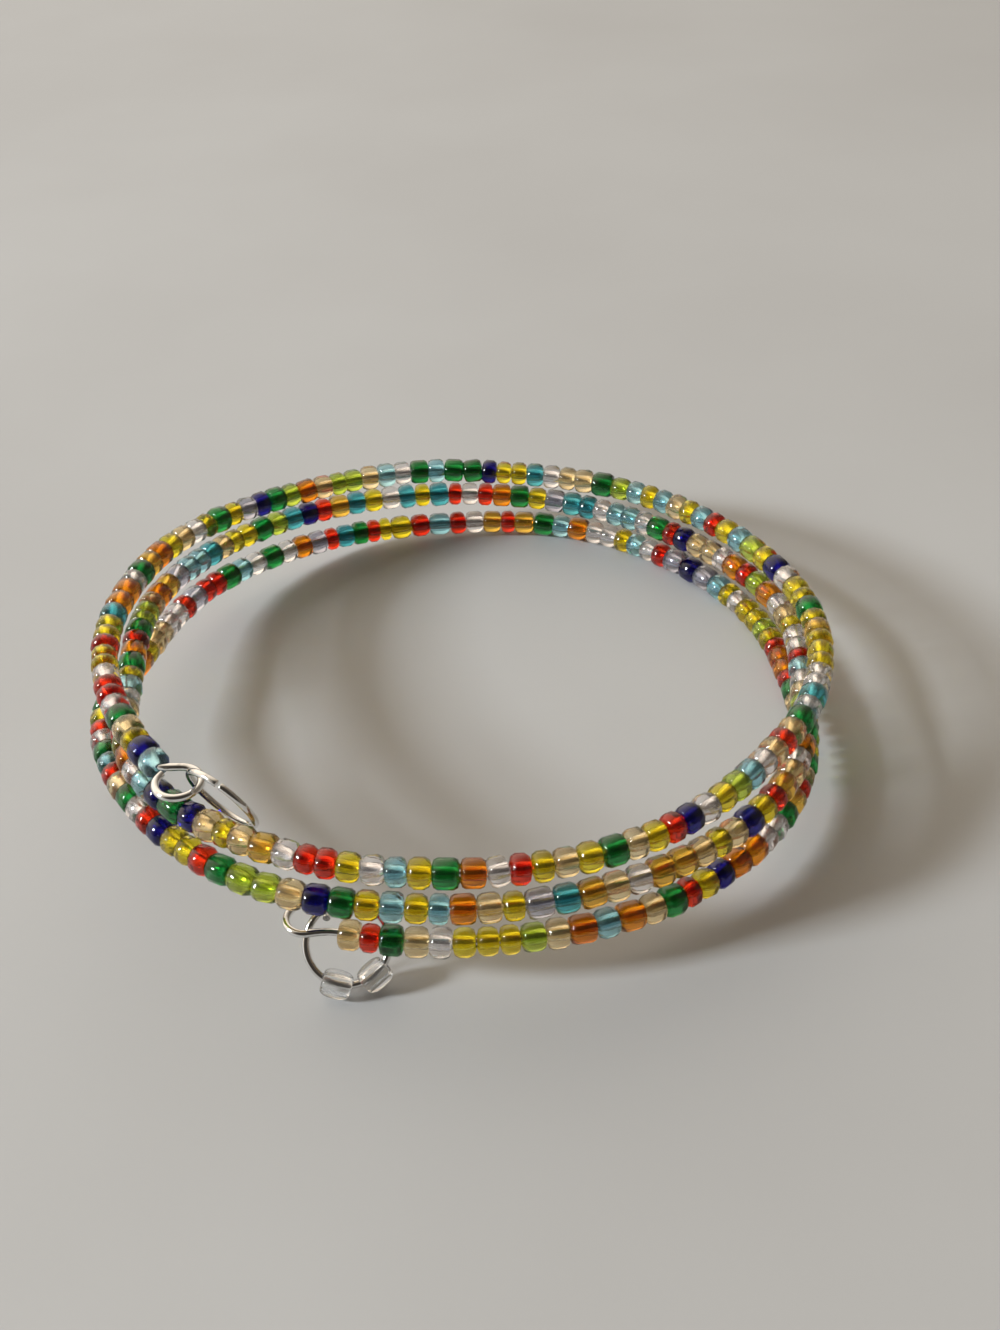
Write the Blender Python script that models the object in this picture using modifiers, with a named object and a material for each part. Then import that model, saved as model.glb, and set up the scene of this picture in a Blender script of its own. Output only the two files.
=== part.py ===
"""Seed bead bracelet: a spring coil of hard wire strung with small glass beads.

The coil lies on a table with its axis upright and leans a little, because the jump ring of its
lower end stands under it with two glass beads on it. The wire makes close to three turns, each
end is bent into a small eye, and an open jump ring goes through each eye.

The front of the bracelet faces -Y, +Z is up, and the table is the plane Z = 0. Angles are seen
from above, with 0 at +X and 270 at the front, and they count on through the turns.
"""

import math

import bpy
from mathutils import Vector

# The wire, its coil and the way it lies, in metres and degrees
COIL_RADIUS = 0.0300
TURN_PITCH = 0.0030
LEAN_HEIGHT = 0.00235
LEAN_TOWARDS_DEG = 248.0
WIRE_DIAMETER = 0.0006

# The string of beads
BEAD_DIAMETER = 0.0022
BEAD_BORE = 0.0012
STRING_START_DEG = 252.0
STRING_END_DEG = 1300.0
STRING_POINTS = 80

# How round the meshes are: sides are four and twice the number; an edge sharper than this
# stays sharp, and points closer than this are one
STRING_BEVEL = 2
WIRE_BEVEL = 1
SHARP_EDGE_DEG = 60.0
SAME_POINT = 0.00001

# The two eyes: the loop's radius, and its centre from the string's end
LOWER_EYE_RADIUS = 0.0015
LOWER_EYE_ALONG = 0.00275
LOWER_EYE_INWARD = 0.00045
LOWER_EYE_RISE = 0.0003
UPPER_EYE_RADIUS = 0.0017
UPPER_EYE_ALONG = 0.0030
UPPER_EYE_INWARD = 0.0002
UPPER_EYE_RISE = 0.0001
EYE_OPEN_DEG = 80.0
EYE_NECK_DEG = 115.0
EYE_POINTS = 20
NECK_POINTS = 4

# The jump rings: radius of the wire's centre line, wire and slit
JUMP_RING_RADIUS = 0.00305
JUMP_RING_WIRE = 0.00056
JUMP_RING_SLIT = 0.0003
JUMP_RING_POINTS = 30

# The place of each ring's centre from its eye's centre, the direction of its level diameter,
# and how far its plane is turned up from level
LOWER_RING_ALONG = -0.00326
LOWER_RING_OUTWARD = 0.00039
LOWER_RING_RISE = -0.00134
LOWER_RING_TURN_DEG = 6.7
LOWER_RING_LEAN_DEG = 51.3
LOWER_RING_SLIT_DEG = 100.0
UPPER_RING_ALONG = 0.00274
UPPER_RING_OUTWARD = -0.00193
UPPER_RING_RISE = -0.00089
UPPER_RING_TURN_DEG = 140.5
UPPER_RING_LEAN_DEG = 70.5
UPPER_RING_SLIT_DEG = 112.0

# The two beads on the lower ring
DROP_BEAD_DIAMETER = 0.0022
DROP_BEAD_LENGTH = 0.0022
DROP_BEAD_BORE = 0.0012
DROP_BEAD_SAG = 0.00012
DROP_BEAD_SIDES = 14
DROP_BEAD_ANGLES_DEG = (-112.0, -56.0)

# The bead string's route: angle in degrees, and how far it lies outside the coil's radius in
# bead diameters. The soft wire wanders in and out by about one bead.
ROUTE = (
    (248, 0.23),
    (275, 0.20),
    (300, 0.32),
    (325, 0.20),
    (342, -0.14),
    (362, -0.57),
    (382, -0.32),
    (405, -0.05),
    (430, 0.16),
    (455, -0.23),
    (480, -0.20),
    (505, -0.18),
    (530, -0.45),
    (548, 0.32),
    (575, 0.27),
    (602, 0.27),
    (620, 0.00),
    (650, 0.05),
    (685, 0.09),
    (712, -0.45),
    (735, 0.02),
    (765, 0.00),
    (800, 0.14),
    (845, 0.20),
    (875, -0.05),
    (906, -0.86),
    (932, -0.05),
    (960, -0.18),
    (985, -0.27),
    (1015, -0.23),
    (1042, -0.43),
    (1062, -0.05),
    (1085, 0.23),
    (1105, 0.18),
    (1135, 0.14),
    (1160, -0.09),
    (1175, 0.02),
    (1200, -0.07),
    (1230, 0.27),
    (1250, 0.00),
    (1285, -0.25),
    (1305, -0.05),
)

# Half the profile of a drop bead, from the top of its outer side down to its belly: distance
# outside the bore in walls, and height in half lengths
BEAD_SHOULDER = (
    (0.25, 1.00),
    (0.62, 0.93),
    (0.86, 0.72),
    (0.97, 0.38),
)

STEEL = (0.70, 0.70, 0.68)
GLASS = (0.62, 0.55, 0.25)
CLEAR_GLASS = (0.85, 0.86, 0.84)


def remove_all_objects():
    """Empty the scene of what it starts with."""
    for obj in list(bpy.data.objects):
        bpy.data.objects.remove(obj, do_unlink=True)


def make_material(name, colour, metallic, roughness):
    """Return a plain Principled material."""
    material = bpy.data.materials.new(name)
    material.use_nodes = True
    surface = material.node_tree.nodes["Principled BSDF"]
    surface.inputs["Base Color"].default_value = (*colour, 1.0)
    surface.inputs["Metallic"].default_value = metallic
    surface.inputs["Roughness"].default_value = roughness
    material.diffuse_color = (*colour, 1.0)
    return material


def hermite(start, start_slope, end, end_slope, share):
    """Blend two values, or two points, smoothly; the slopes are those over the whole stretch."""
    squared = share * share
    cubed = squared * share
    return (
        start * (2 * cubed - 3 * squared + 1)
        + start_slope * (cubed - 2 * squared + share)
        + end * (3 * squared - 2 * cubed)
        + end_slope * (cubed - squared)
    )


def table_slope(rows, index):
    """Return the slope of the smooth curve at one row of a two-column table."""
    before = rows[max(index - 1, 0)]
    after = rows[min(index + 1, len(rows) - 1)]
    return (after[1] - before[1]) / (after[0] - before[0])


def smooth_table(rows, place):
    """Read a two-column table at a place between its rows, along a smooth curve."""
    index = 0
    while index < len(rows) - 2 and place > rows[index + 1][0]:
        index += 1
    low, high = rows[index], rows[index + 1]
    span = high[0] - low[0]
    share = (place - low[0]) / span
    return hermite(
        low[1],
        table_slope(rows, index) * span,
        high[1],
        table_slope(rows, index + 1) * span,
        share,
    )


def string_angles():
    """Return the angles of the bead string's points."""
    step = (STRING_END_DEG - STRING_START_DEG) / (STRING_POINTS - 1)
    return [STRING_START_DEG + step * index for index in range(STRING_POINTS)]


def climb_and_lean(angle):
    """Return how high the coil has climbed at an angle, with its lean."""
    climb = TURN_PITCH * (angle - STRING_START_DEG) / 360.0
    return climb + LEAN_HEIGHT * math.cos(math.radians(angle - LEAN_TOWARDS_DEG))


def rest_height():
    """Return the height that sets the lowest stretch of beads on the table."""
    return BEAD_DIAMETER / 2 - min(climb_and_lean(angle) for angle in string_angles())


def route_point(angle):
    """Return the point of the coil's centre line at an angle."""
    radius = COIL_RADIUS + BEAD_DIAMETER * smooth_table(ROUTE, angle)
    turned = math.radians(angle)
    return Vector(
        (radius * math.cos(turned), radius * math.sin(turned), rest_height() + climb_and_lean(angle))
    )


class Eye:
    """The small loop at one end of the wire, bent level from the end of the bead string."""

    def __init__(self, angle, way, radius, along, inward, rise, side):
        self.start = route_point(angle)
        ahead = route_point(angle + way) - self.start
        self.lead = ahead.normalized()
        self.along = Vector((ahead.x, ahead.y, 0.0)).normalized()
        out = Vector((self.start.x, self.start.y, 0.0))
        self.outward = (out - self.along * out.dot(self.along)).normalized()
        self.radius = radius
        self.side = side
        self.centre = self.place(along, -inward, rise)

    def place(self, along, outward, rise):
        """Return the point at these distances from the end of the string."""
        return self.start + self.along * along + self.outward * outward + Vector((0, 0, rise))

    def loop_point(self, angle):
        """Return a point of the loop, and the direction in which the wire runs there."""
        turned = math.radians(angle)
        spoke = self.along * math.cos(turned) + self.outward * math.sin(turned) * self.side
        run = self.along * math.sin(turned) - self.outward * math.cos(turned) * self.side
        return self.centre + spoke * self.radius, run

    def points(self):
        """Return the wire's points from the string's end, through the neck, round the loop."""
        first, run = self.loop_point(EYE_NECK_DEG)
        reach = (first - self.start).length
        neck = [
            hermite(self.start, self.lead * reach, first, run * reach, index / NECK_POINTS)
            for index in range(1, NECK_POINTS)
        ]
        sweep = 360.0 - EYE_OPEN_DEG
        loop = [
            self.loop_point(EYE_NECK_DEG - sweep * index / (EYE_POINTS - 1))[0]
            for index in range(EYE_POINTS)
        ]
        return neck + loop


class JumpRing:
    """An open wire ring, set from the centre of the eye that it goes through."""

    def __init__(self, eye, along, outward, rise, turn_deg, lean_deg):
        self.centre = eye.centre + eye.along * along + eye.outward * outward + Vector((0, 0, rise))
        turn = math.radians(turn_deg)
        lean = math.radians(lean_deg)
        self.level = Vector((math.cos(turn), math.sin(turn), 0.0))
        across = Vector((-math.sin(turn), math.cos(turn), 0.0))
        self.up = across * math.cos(lean) + Vector((0, 0, math.sin(lean)))

    def spoke(self, angle):
        """Return the direction from the centre to the ring at an angle from its level diameter."""
        turned = math.radians(angle)
        return self.level * math.cos(turned) + self.up * math.sin(turned)

    def points(self, slit_deg):
        """Return the points of the wire, from one side of its slit round to the other."""
        half_slit = math.degrees(JUMP_RING_SLIT / JUMP_RING_RADIUS) / 2
        sweep = 360.0 - 2 * half_slit
        return [
            self.centre
            + self.spoke(slit_deg + half_slit + sweep * index / (JUMP_RING_POINTS - 1)) * JUMP_RING_RADIUS
            for index in range(JUMP_RING_POINTS)
        ]


def make_curve(name, points, diameter, bevel_resolution, capped):
    """Return a round curve object through the points."""
    curve = bpy.data.curves.new(name, "CURVE")
    curve.dimensions = "3D"
    curve.bevel_depth = diameter / 2
    curve.bevel_resolution = bevel_resolution
    curve.use_fill_caps = capped
    spline = curve.splines.new("POLY")
    spline.points.add(len(points) - 1)
    for spline_point, point in zip(spline.points, points):
        spline_point.co = (*point, 1.0)
    return bpy.data.objects.new(name, curve)


def curve_to_mesh(curve_object, collection):
    """Replace a curve object by a mesh object of the same name and return it."""
    collection.objects.link(curve_object)
    depsgraph = bpy.context.evaluated_depsgraph_get()
    mesh = bpy.data.meshes.new_from_object(curve_object.evaluated_get(depsgraph))
    name = curve_object.name
    bpy.data.objects.remove(curve_object, do_unlink=True)
    mesh.name = name
    return bpy.data.objects.new(name, mesh)


def build_coil_wire(lower_eye, upper_eye):
    """Return the wire: the lower eye, close to three turns inside the beads, the upper eye."""
    inside = [route_point(angle) for angle in string_angles()]
    points = lower_eye.points()[::-1] + inside + upper_eye.points()
    return make_curve("coil_wire", points, WIRE_DIAMETER, WIRE_BEVEL, True)


def build_bead_string(collection):
    """Return the string of beads as one drilled tube round the wire."""
    points = [route_point(angle) for angle in string_angles()]
    skin = make_curve("bead_string", points, BEAD_DIAMETER, STRING_BEVEL, False)
    tube = curve_to_mesh(skin, collection)
    wall = tube.modifiers.new("wall", "SOLIDIFY")
    wall.thickness = (BEAD_DIAMETER - BEAD_BORE) / 2
    wall.offset = -1.0
    tube.data.shade_smooth()
    tube.data.set_sharp_from_angle(angle=math.radians(SHARP_EDGE_DEG))
    return tube


def drop_bead_mesh():
    """Return the turned profile of a drilled bead, closed round its bore."""
    bore = DROP_BEAD_BORE / 2
    wall = (DROP_BEAD_DIAMETER - DROP_BEAD_BORE) / 2
    half = DROP_BEAD_LENGTH / 2
    upper = [(bore + wall * out, half * up) for out, up in BEAD_SHOULDER]
    lower = [(x, -z) for x, z in reversed(upper)]
    outer = [(bore, half), *upper, (bore + wall, 0.0), *lower, (bore, -half)]
    mesh = bpy.data.meshes.new("drop_bead")
    count = len(outer)
    edges = [(index, (index + 1) % count) for index in range(count)]
    mesh.from_pydata([(x, 0.0, z) for x, z in outer], edges, [])
    return mesh


def build_drop_bead(name, ring, angle):
    """Return one bead that hangs on the jump ring at an angle."""
    bead = bpy.data.objects.new(name, drop_bead_mesh())
    turned = bead.modifiers.new("turned", "SCREW")
    turned.axis = "Z"
    turned.angle = math.tau
    turned.steps = DROP_BEAD_SIDES
    turned.render_steps = DROP_BEAD_SIDES
    turned.use_merge_vertices = True
    turned.merge_threshold = SAME_POINT
    turned.use_smooth_shade = True
    spoke = ring.spoke(angle)
    axis = ring.spoke(angle + 90.0)
    sagitta = JUMP_RING_RADIUS - math.sqrt(JUMP_RING_RADIUS**2 - (DROP_BEAD_LENGTH / 2) ** 2)
    bead.location = ring.centre + spoke * (JUMP_RING_RADIUS - sagitta / 2 + DROP_BEAD_SAG)
    bead.rotation_mode = "QUATERNION"
    bead.rotation_quaternion = axis.to_track_quat("Z", "Y")
    return bead


def centre_on_origin(frame, parts):
    """Move the frame so that the middle of the bracelet's box stands on the origin."""
    bpy.context.view_layer.update()
    depsgraph = bpy.context.evaluated_depsgraph_get()
    corners = []
    for part in parts:
        evaluated = part.evaluated_get(depsgraph)
        mesh = evaluated.to_mesh()
        corners += [evaluated.matrix_world @ vertex.co for vertex in mesh.vertices]
        evaluated.to_mesh_clear()
    low = [min(corner[axis] for corner in corners) for axis in range(3)]
    high = [max(corner[axis] for corner in corners) for axis in range(3)]
    frame.location = (-(low[0] + high[0]) / 2, -(low[1] + high[1]) / 2, -low[2])
    bpy.context.view_layer.update()


def main():
    """Build the bracelet."""
    remove_all_objects()
    collection = bpy.data.collections.new("seed_bead_bracelet")
    bpy.context.scene.collection.children.link(collection)

    lower_eye = Eye(
        STRING_START_DEG, -1, LOWER_EYE_RADIUS, LOWER_EYE_ALONG, LOWER_EYE_INWARD, LOWER_EYE_RISE, 1
    )
    upper_eye = Eye(
        STRING_END_DEG, 1, UPPER_EYE_RADIUS, UPPER_EYE_ALONG, UPPER_EYE_INWARD, UPPER_EYE_RISE, -1
    )
    lower_ring = JumpRing(
        lower_eye,
        LOWER_RING_ALONG,
        LOWER_RING_OUTWARD,
        LOWER_RING_RISE,
        LOWER_RING_TURN_DEG,
        LOWER_RING_LEAN_DEG,
    )
    upper_ring = JumpRing(
        upper_eye,
        UPPER_RING_ALONG,
        UPPER_RING_OUTWARD,
        UPPER_RING_RISE,
        UPPER_RING_TURN_DEG,
        UPPER_RING_LEAN_DEG,
    )

    coil_wire = build_coil_wire(lower_eye, upper_eye)
    coil_wire.data.materials.append(make_material("spring wire", STEEL, 1.0, 0.30))

    bead_string = build_bead_string(collection)
    bead_string.data.materials.append(make_material("seed beads", GLASS, 0.0, 0.10))

    parts = [coil_wire, bead_string]
    ring_places = (
        ("lower_jump_ring", lower_ring, LOWER_RING_SLIT_DEG),
        ("upper_jump_ring", upper_ring, UPPER_RING_SLIT_DEG),
    )
    for name, ring, slit_deg in ring_places:
        ring_object = make_curve(name, ring.points(slit_deg), JUMP_RING_WIRE, WIRE_BEVEL, True)
        ring_object.data.materials.append(make_material(name, STEEL, 1.0, 0.25))
        parts.append(ring_object)

    for number, angle in enumerate(DROP_BEAD_ANGLES_DEG, start=1):
        drop_bead = build_drop_bead(f"drop_bead_{number}", lower_ring, angle)
        drop_bead.data.materials.append(make_material(f"drop bead {number}", CLEAR_GLASS, 0.0, 0.05))
        parts.append(drop_bead)

    frame = bpy.data.objects.new("bracelet_frame", None)
    collection.objects.link(frame)
    for part in parts:
        collection.objects.link(part)
        part.parent = frame
    centre_on_origin(frame, parts)


main()
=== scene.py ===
"""The seed bead bracelet on a pale table: every bead, the spring wire, the jump rings, the light.

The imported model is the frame. The beads stand for its bead string, and the wire, the two jump
rings and the two drop beads are made again with rounder sections and real ends. Lengths are in
metres and angles in degrees, seen from above, 0 at +X and 270 at the front.
"""

import bmesh
import bpy
import logging
import math
import random
from collections.abc import Callable, Sequence
from dataclasses import dataclass
from enum import Enum
from mathutils import Matrix, Vector
from typing import TypeVar

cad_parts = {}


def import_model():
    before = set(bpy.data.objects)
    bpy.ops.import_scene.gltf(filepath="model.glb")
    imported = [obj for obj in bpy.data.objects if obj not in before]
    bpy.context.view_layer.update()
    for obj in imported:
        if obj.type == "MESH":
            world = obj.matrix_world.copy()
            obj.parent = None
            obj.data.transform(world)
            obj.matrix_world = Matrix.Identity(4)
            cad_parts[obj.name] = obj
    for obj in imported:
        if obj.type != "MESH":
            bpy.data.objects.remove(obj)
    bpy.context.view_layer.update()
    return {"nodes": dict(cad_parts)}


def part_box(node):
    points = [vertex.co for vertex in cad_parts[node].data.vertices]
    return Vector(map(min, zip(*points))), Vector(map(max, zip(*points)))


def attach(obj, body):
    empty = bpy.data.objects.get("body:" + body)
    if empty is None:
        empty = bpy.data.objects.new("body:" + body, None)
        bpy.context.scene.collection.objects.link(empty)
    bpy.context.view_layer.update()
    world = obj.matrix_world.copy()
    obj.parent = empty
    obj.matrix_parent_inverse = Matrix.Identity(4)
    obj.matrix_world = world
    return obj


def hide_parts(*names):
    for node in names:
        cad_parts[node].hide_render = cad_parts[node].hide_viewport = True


LOG = logging.getLogger("bracelet")
BODY = "root"
MM = 0.001

Colour = tuple[float, float, float]
Blended = TypeVar("Blended", float, Vector)
Spot = tuple[float, float]
Map = Callable[[int, bpy.types.MeshPolygon], Spot]


class Glass(Enum):
    """The kinds of seed bead; each value is the kind's letter in the stringing chart."""

    CRYSTAL = "c"
    CHAMPAGNE = "k"
    YELLOW = "y"
    AMBER = "a"
    LIME = "l"
    GREEN = "g"
    RED = "r"
    ORANGE = "o"
    NAVY = "n"
    SKY = "s"
    TEAL = "t"
    GREY = "v"


class BeadCut(Enum):
    """How a bead was tumbled: the value is how far its rims are rounded, in radii."""

    SLIM = 0.58
    PLAIN = 0.51
    LONG = 0.42


class WireEnd(Enum):
    """The two ends of the wire; the value is the way in which the wire leaves the string."""

    LOWER = -1
    UPPER = 1


# Bead kinds: cut, shortest and longest bead, and middle diameter
BEAD_SIZES: dict[Glass, tuple[BeadCut, float, float, float]] = {
    Glass.CRYSTAL: (BeadCut.PLAIN, 1.55 * MM, 1.85 * MM, 2.27 * MM),
    Glass.CHAMPAGNE: (BeadCut.PLAIN, 1.50 * MM, 1.95 * MM, 2.33 * MM),
    Glass.YELLOW: (BeadCut.SLIM, 1.35 * MM, 1.95 * MM, 2.28 * MM),
    Glass.AMBER: (BeadCut.LONG, 1.80 * MM, 2.10 * MM, 2.28 * MM),
    Glass.LIME: (BeadCut.PLAIN, 1.60 * MM, 2.00 * MM, 2.27 * MM),
    Glass.GREEN: (BeadCut.LONG, 1.75 * MM, 2.15 * MM, 2.36 * MM),
    Glass.RED: (BeadCut.SLIM, 1.40 * MM, 1.65 * MM, 2.30 * MM),
    Glass.ORANGE: (BeadCut.LONG, 1.85 * MM, 2.15 * MM, 2.30 * MM),
    Glass.NAVY: (BeadCut.PLAIN, 1.60 * MM, 1.95 * MM, 2.34 * MM),
    Glass.SKY: (BeadCut.PLAIN, 1.55 * MM, 1.90 * MM, 2.30 * MM),
    Glass.TEAL: (BeadCut.PLAIN, 1.65 * MM, 2.00 * MM, 2.34 * MM),
    Glass.GREY: (BeadCut.LONG, 1.85 * MM, 2.15 * MM, 2.26 * MM),
}

# The stringing chart: the angle where a run starts, and its beads in order
CHART: tuple[tuple[float, str], ...] = (
    (252.0, "krgkcyyylkosokgryn"),
    (310.0, "ooccgarkg"),
    (340.0, "ylsok"),
    (356.5, "groor"),
    (373.0, "ylyycy"),
    (392.0, "svnvr"),
    (410.5, "csycco"),
    (429.0, "sgara"),
    (446.0, "crsry"),
    (464.5, "yrgtrvo"),
    (484.7, "cgcsgrrvrcc"),
    (521.0, "kkyoslcgy"),
    (551.0, "rcgs"),
    (563.0, "rkgcr"),
    (579.0, "nyyrgllkn"),
    (611.0, "gysysoky"),
    (638.0, "vtakcaak"),
    (667.0, "yknyrak"),
    (690.0, "cogylkcsrcc"),
    (728.0, "ykcol"),
    (746.0, "rockknr"),
    (768.0, "gcssctt"),
    (790.0, "vygorcr"),
    (812.5, "tytcytar"),
    (838.5, "ntlgyykt"),
    (864.0, "ssvaokllg"),
    (893.0, "rogysckyrl"),
    (927.0, "ocsng"),
    (946.0, "nkykacr"),
    (969.0, "rycsygo"),
    (993.0, "crykygky"),
    (1019.5, "rncylsc"),
    (1043.5, "krkgct"),
    (1063.0, "ccyyyayg"),
    (1088.0, "yycny"),
    (1105.0, "lsyrs"),
    (1122.0, "yksyslgk"),
    (1147.5, "kctyyngg"),
    (1173.0, "sgcskllk"),
    (1198.7, "olgnvygy"),
    (1223.0, "ckyoagc"),
    (1245.5, "ootyyryy"),
    (1272.0, "crrcgkyns"),
)
CHART_END_DEG = 1300.9


# The hand work


def turn_of(spot: Vector) -> float:
    """Return how far round Z a spot lies, in turns."""
    return math.atan2(spot.y, spot.x) / math.tau


def beside(turn: float, middle: float) -> float:
    """Return a turn, give or take whole turns, so that it lies nearest the middle."""
    return middle + (turn - middle + 0.5) % 1.0 - 0.5


class Bench:
    """Small steps of hand work on one piece at a time."""

    LEVEL = 0.01 * MM
    SAME_SPOT = 0.002 * MM
    AT_END = 0.99
    NEAR = 0.05

    @staticmethod
    def clear() -> None:
        """Deselect everything, out of edit mode."""
        if bpy.context.object and bpy.context.object.mode != "OBJECT":
            bpy.ops.object.mode_set(mode="OBJECT")
        bpy.ops.object.select_all(action="DESELECT")

    @staticmethod
    def take(pieces: Sequence[bpy.types.Object]) -> None:
        """Select these pieces only.

        Args:
            pieces: the pieces; the first one becomes active.
        """
        Bench.clear()
        for piece in pieces:
            piece.select_set(True)
        bpy.context.view_layer.objects.active = pieces[0]

    @staticmethod
    def edit() -> None:
        """Go into edit mode."""
        bpy.ops.object.mode_set(mode="EDIT")

    @staticmethod
    def pick_faces(wanted: Callable[[bmesh.types.BMFace], bool]) -> None:
        """Select the faces that pass a test, in edit mode.

        Args:
            wanted: the test, true for a face to select.
        """
        bpy.ops.mesh.select_mode(type="FACE")
        bpy.ops.mesh.select_all(action="DESELECT")
        mesh = bpy.context.object.data
        shape = bmesh.from_edit_mesh(mesh)
        for face in shape.faces:
            if wanted(face):
                face.select_set(True)
        bmesh.update_edit_mesh(mesh)

    @staticmethod
    def pick_edges(wanted: Callable[[bmesh.types.BMEdge], bool]) -> None:
        """Select the edges that pass a test, in edit mode.

        Args:
            wanted: the test, true for an edge to select.
        """
        bpy.ops.mesh.select_mode(type="EDGE")
        bpy.ops.mesh.select_all(action="DESELECT")
        mesh = bpy.context.object.data
        shape = bmesh.from_edit_mesh(mesh)
        for edge in [edge for edge in shape.edges if wanted(edge)]:
            edge.select_set(True)
        bmesh.update_edit_mesh(mesh)

    @staticmethod
    def pick_rims(half: float, radius: float) -> None:
        """Select the round edges at both ends of a turned piece, in edit mode.

        Args:
            half: half the piece's length.
            radius: the radius of the rims to select.
        """

        def wanted(edge: bmesh.types.BMEdge) -> bool:
            """Return whether an edge lies level at an end and goes round, not inward.

            Args:
                edge: the edge.

            Returns:
                The answer.
            """
            first, last = (corner.co for corner in edge.verts)
            level = abs(first.z - last.z) < Bench.LEVEL
            goes_round = abs(first.xy.length - last.xy.length) < Bench.LEVEL
            at_rim = abs(first.xy.length - radius) < Bench.NEAR * radius
            return level and goes_round and at_rim and abs(first.z) > Bench.AT_END * half

        Bench.pick_edges(wanted)

    @staticmethod
    def bevel(offset: float, steps: int) -> None:
        """Round the selected edges.

        Args:
            offset: how far the rounding reaches.
            steps: how many faces it has across.
        """
        bpy.ops.mesh.bevel(offset=offset, offset_type="OFFSET", segments=steps, affect="EDGES")

    @staticmethod
    def close(smooth_deg: float) -> bpy.types.Object:
        """Merge doubles, turn all faces outward, leave edit mode and shade the piece.

        Args:
            smooth_deg: edges sharper than this stay sharp.

        Returns:
            The piece.
        """
        bpy.ops.mesh.select_all(action="SELECT")
        bpy.ops.mesh.remove_doubles(threshold=Bench.SAME_SPOT)
        bpy.ops.mesh.normals_make_consistent(inside=False)
        bpy.ops.mesh.select_all(action="DESELECT")
        bpy.ops.object.mode_set(mode="OBJECT")
        bpy.ops.object.shade_smooth_by_angle(angle=math.radians(smooth_deg))
        return bpy.context.object

    @staticmethod
    def join(pieces: Sequence[bpy.types.Object], name: str) -> bpy.types.Object:
        """Make one piece of several.

        Args:
            pieces: the pieces, all meshes.
            name: the name of the piece made.

        Returns:
            The piece.
        """
        Bench.take(pieces)
        if len(pieces) > 1:
            bpy.ops.object.join()
        joined = bpy.context.object
        joined.name = joined.data.name = name
        return joined

    @staticmethod
    def wrap(piece: bpy.types.Object, spot: Map) -> None:
        """Give a piece its own map.

        Args:
            piece: the piece.
            spot: the map's u and v at a vertex, as a corner of a face.
        """
        mesh = piece.data
        while mesh.uv_layers:
            mesh.uv_layers.remove(mesh.uv_layers[0])
        layer = mesh.uv_layers.new(name="wrap")
        for face in mesh.polygons:
            for index in face.loop_indices:
                layer.data[index].uv = spot(mesh.loops[index].vertex_index, face)

    @staticmethod
    def carry(piece: bpy.types.Object, slot: str, node: str) -> bpy.types.Object:
        """Let a finished piece ride on the bracelet and stand for a solid of the model.

        Args:
            piece: the finished piece.
            slot: the record's material slot; not used.
            node: the solid that the piece stands for.

        Returns:
            The piece.
        """
        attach(piece, BODY)
        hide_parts(node)
        return piece


# Shader maths


@dataclass(frozen=True)
class Amount:
    """A number that varies over a surface, written as a Python expression."""

    desk: "NodeDesk"
    socket: bpy.types.NodeSocket

    def reckon(self, operation: str, *terms: "Amount | float") -> "Amount":
        """Return the result of one Math node on these terms."""
        node = self.desk.node("ShaderNodeMath", {"operation": operation}, dict(enumerate(terms)))
        return Amount(self.desk, node.outputs[0])

    def __add__(self, other: "Amount | float") -> "Amount":
        """Return self + other."""
        return self.reckon("ADD", self, other)

    def __radd__(self, other: float) -> "Amount":
        """Return other + self."""
        return self.reckon("ADD", other, self)

    def __sub__(self, other: "Amount | float") -> "Amount":
        """Return self - other."""
        return self.reckon("SUBTRACT", self, other)

    def __rsub__(self, other: float) -> "Amount":
        """Return other - self."""
        return self.reckon("SUBTRACT", other, self)

    def __mul__(self, other: "Amount | float") -> "Amount":
        """Return self * other."""
        return self.reckon("MULTIPLY", self, other)

    def __rmul__(self, other: float) -> "Amount":
        """Return other * self."""
        return self.reckon("MULTIPLY", other, self)

    def cosine(self) -> "Amount":
        """Return the cosine of this angle in radians."""
        return self.reckon("COSINE", self)

    def sine(self) -> "Amount":
        """Return the sine of this angle in radians."""
        return self.reckon("SINE", self)

    def ranged(self, low: float, high: float) -> "Amount":
        """Return a soft step.

        Args:
            low: where the step starts from 0.
            high: where it reaches 1.

        Returns:
            The step's height.
        """
        node = self.desk.node(
            "ShaderNodeMapRange",
            {"interpolation_type": "SMOOTHSTEP"},
            {"Value": self, "From Min": low, "From Max": high},
        )
        return Amount(self.desk, node.outputs["Result"])


Fed = Amount | bpy.types.NodeSocket | Colour | Vector | float


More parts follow.
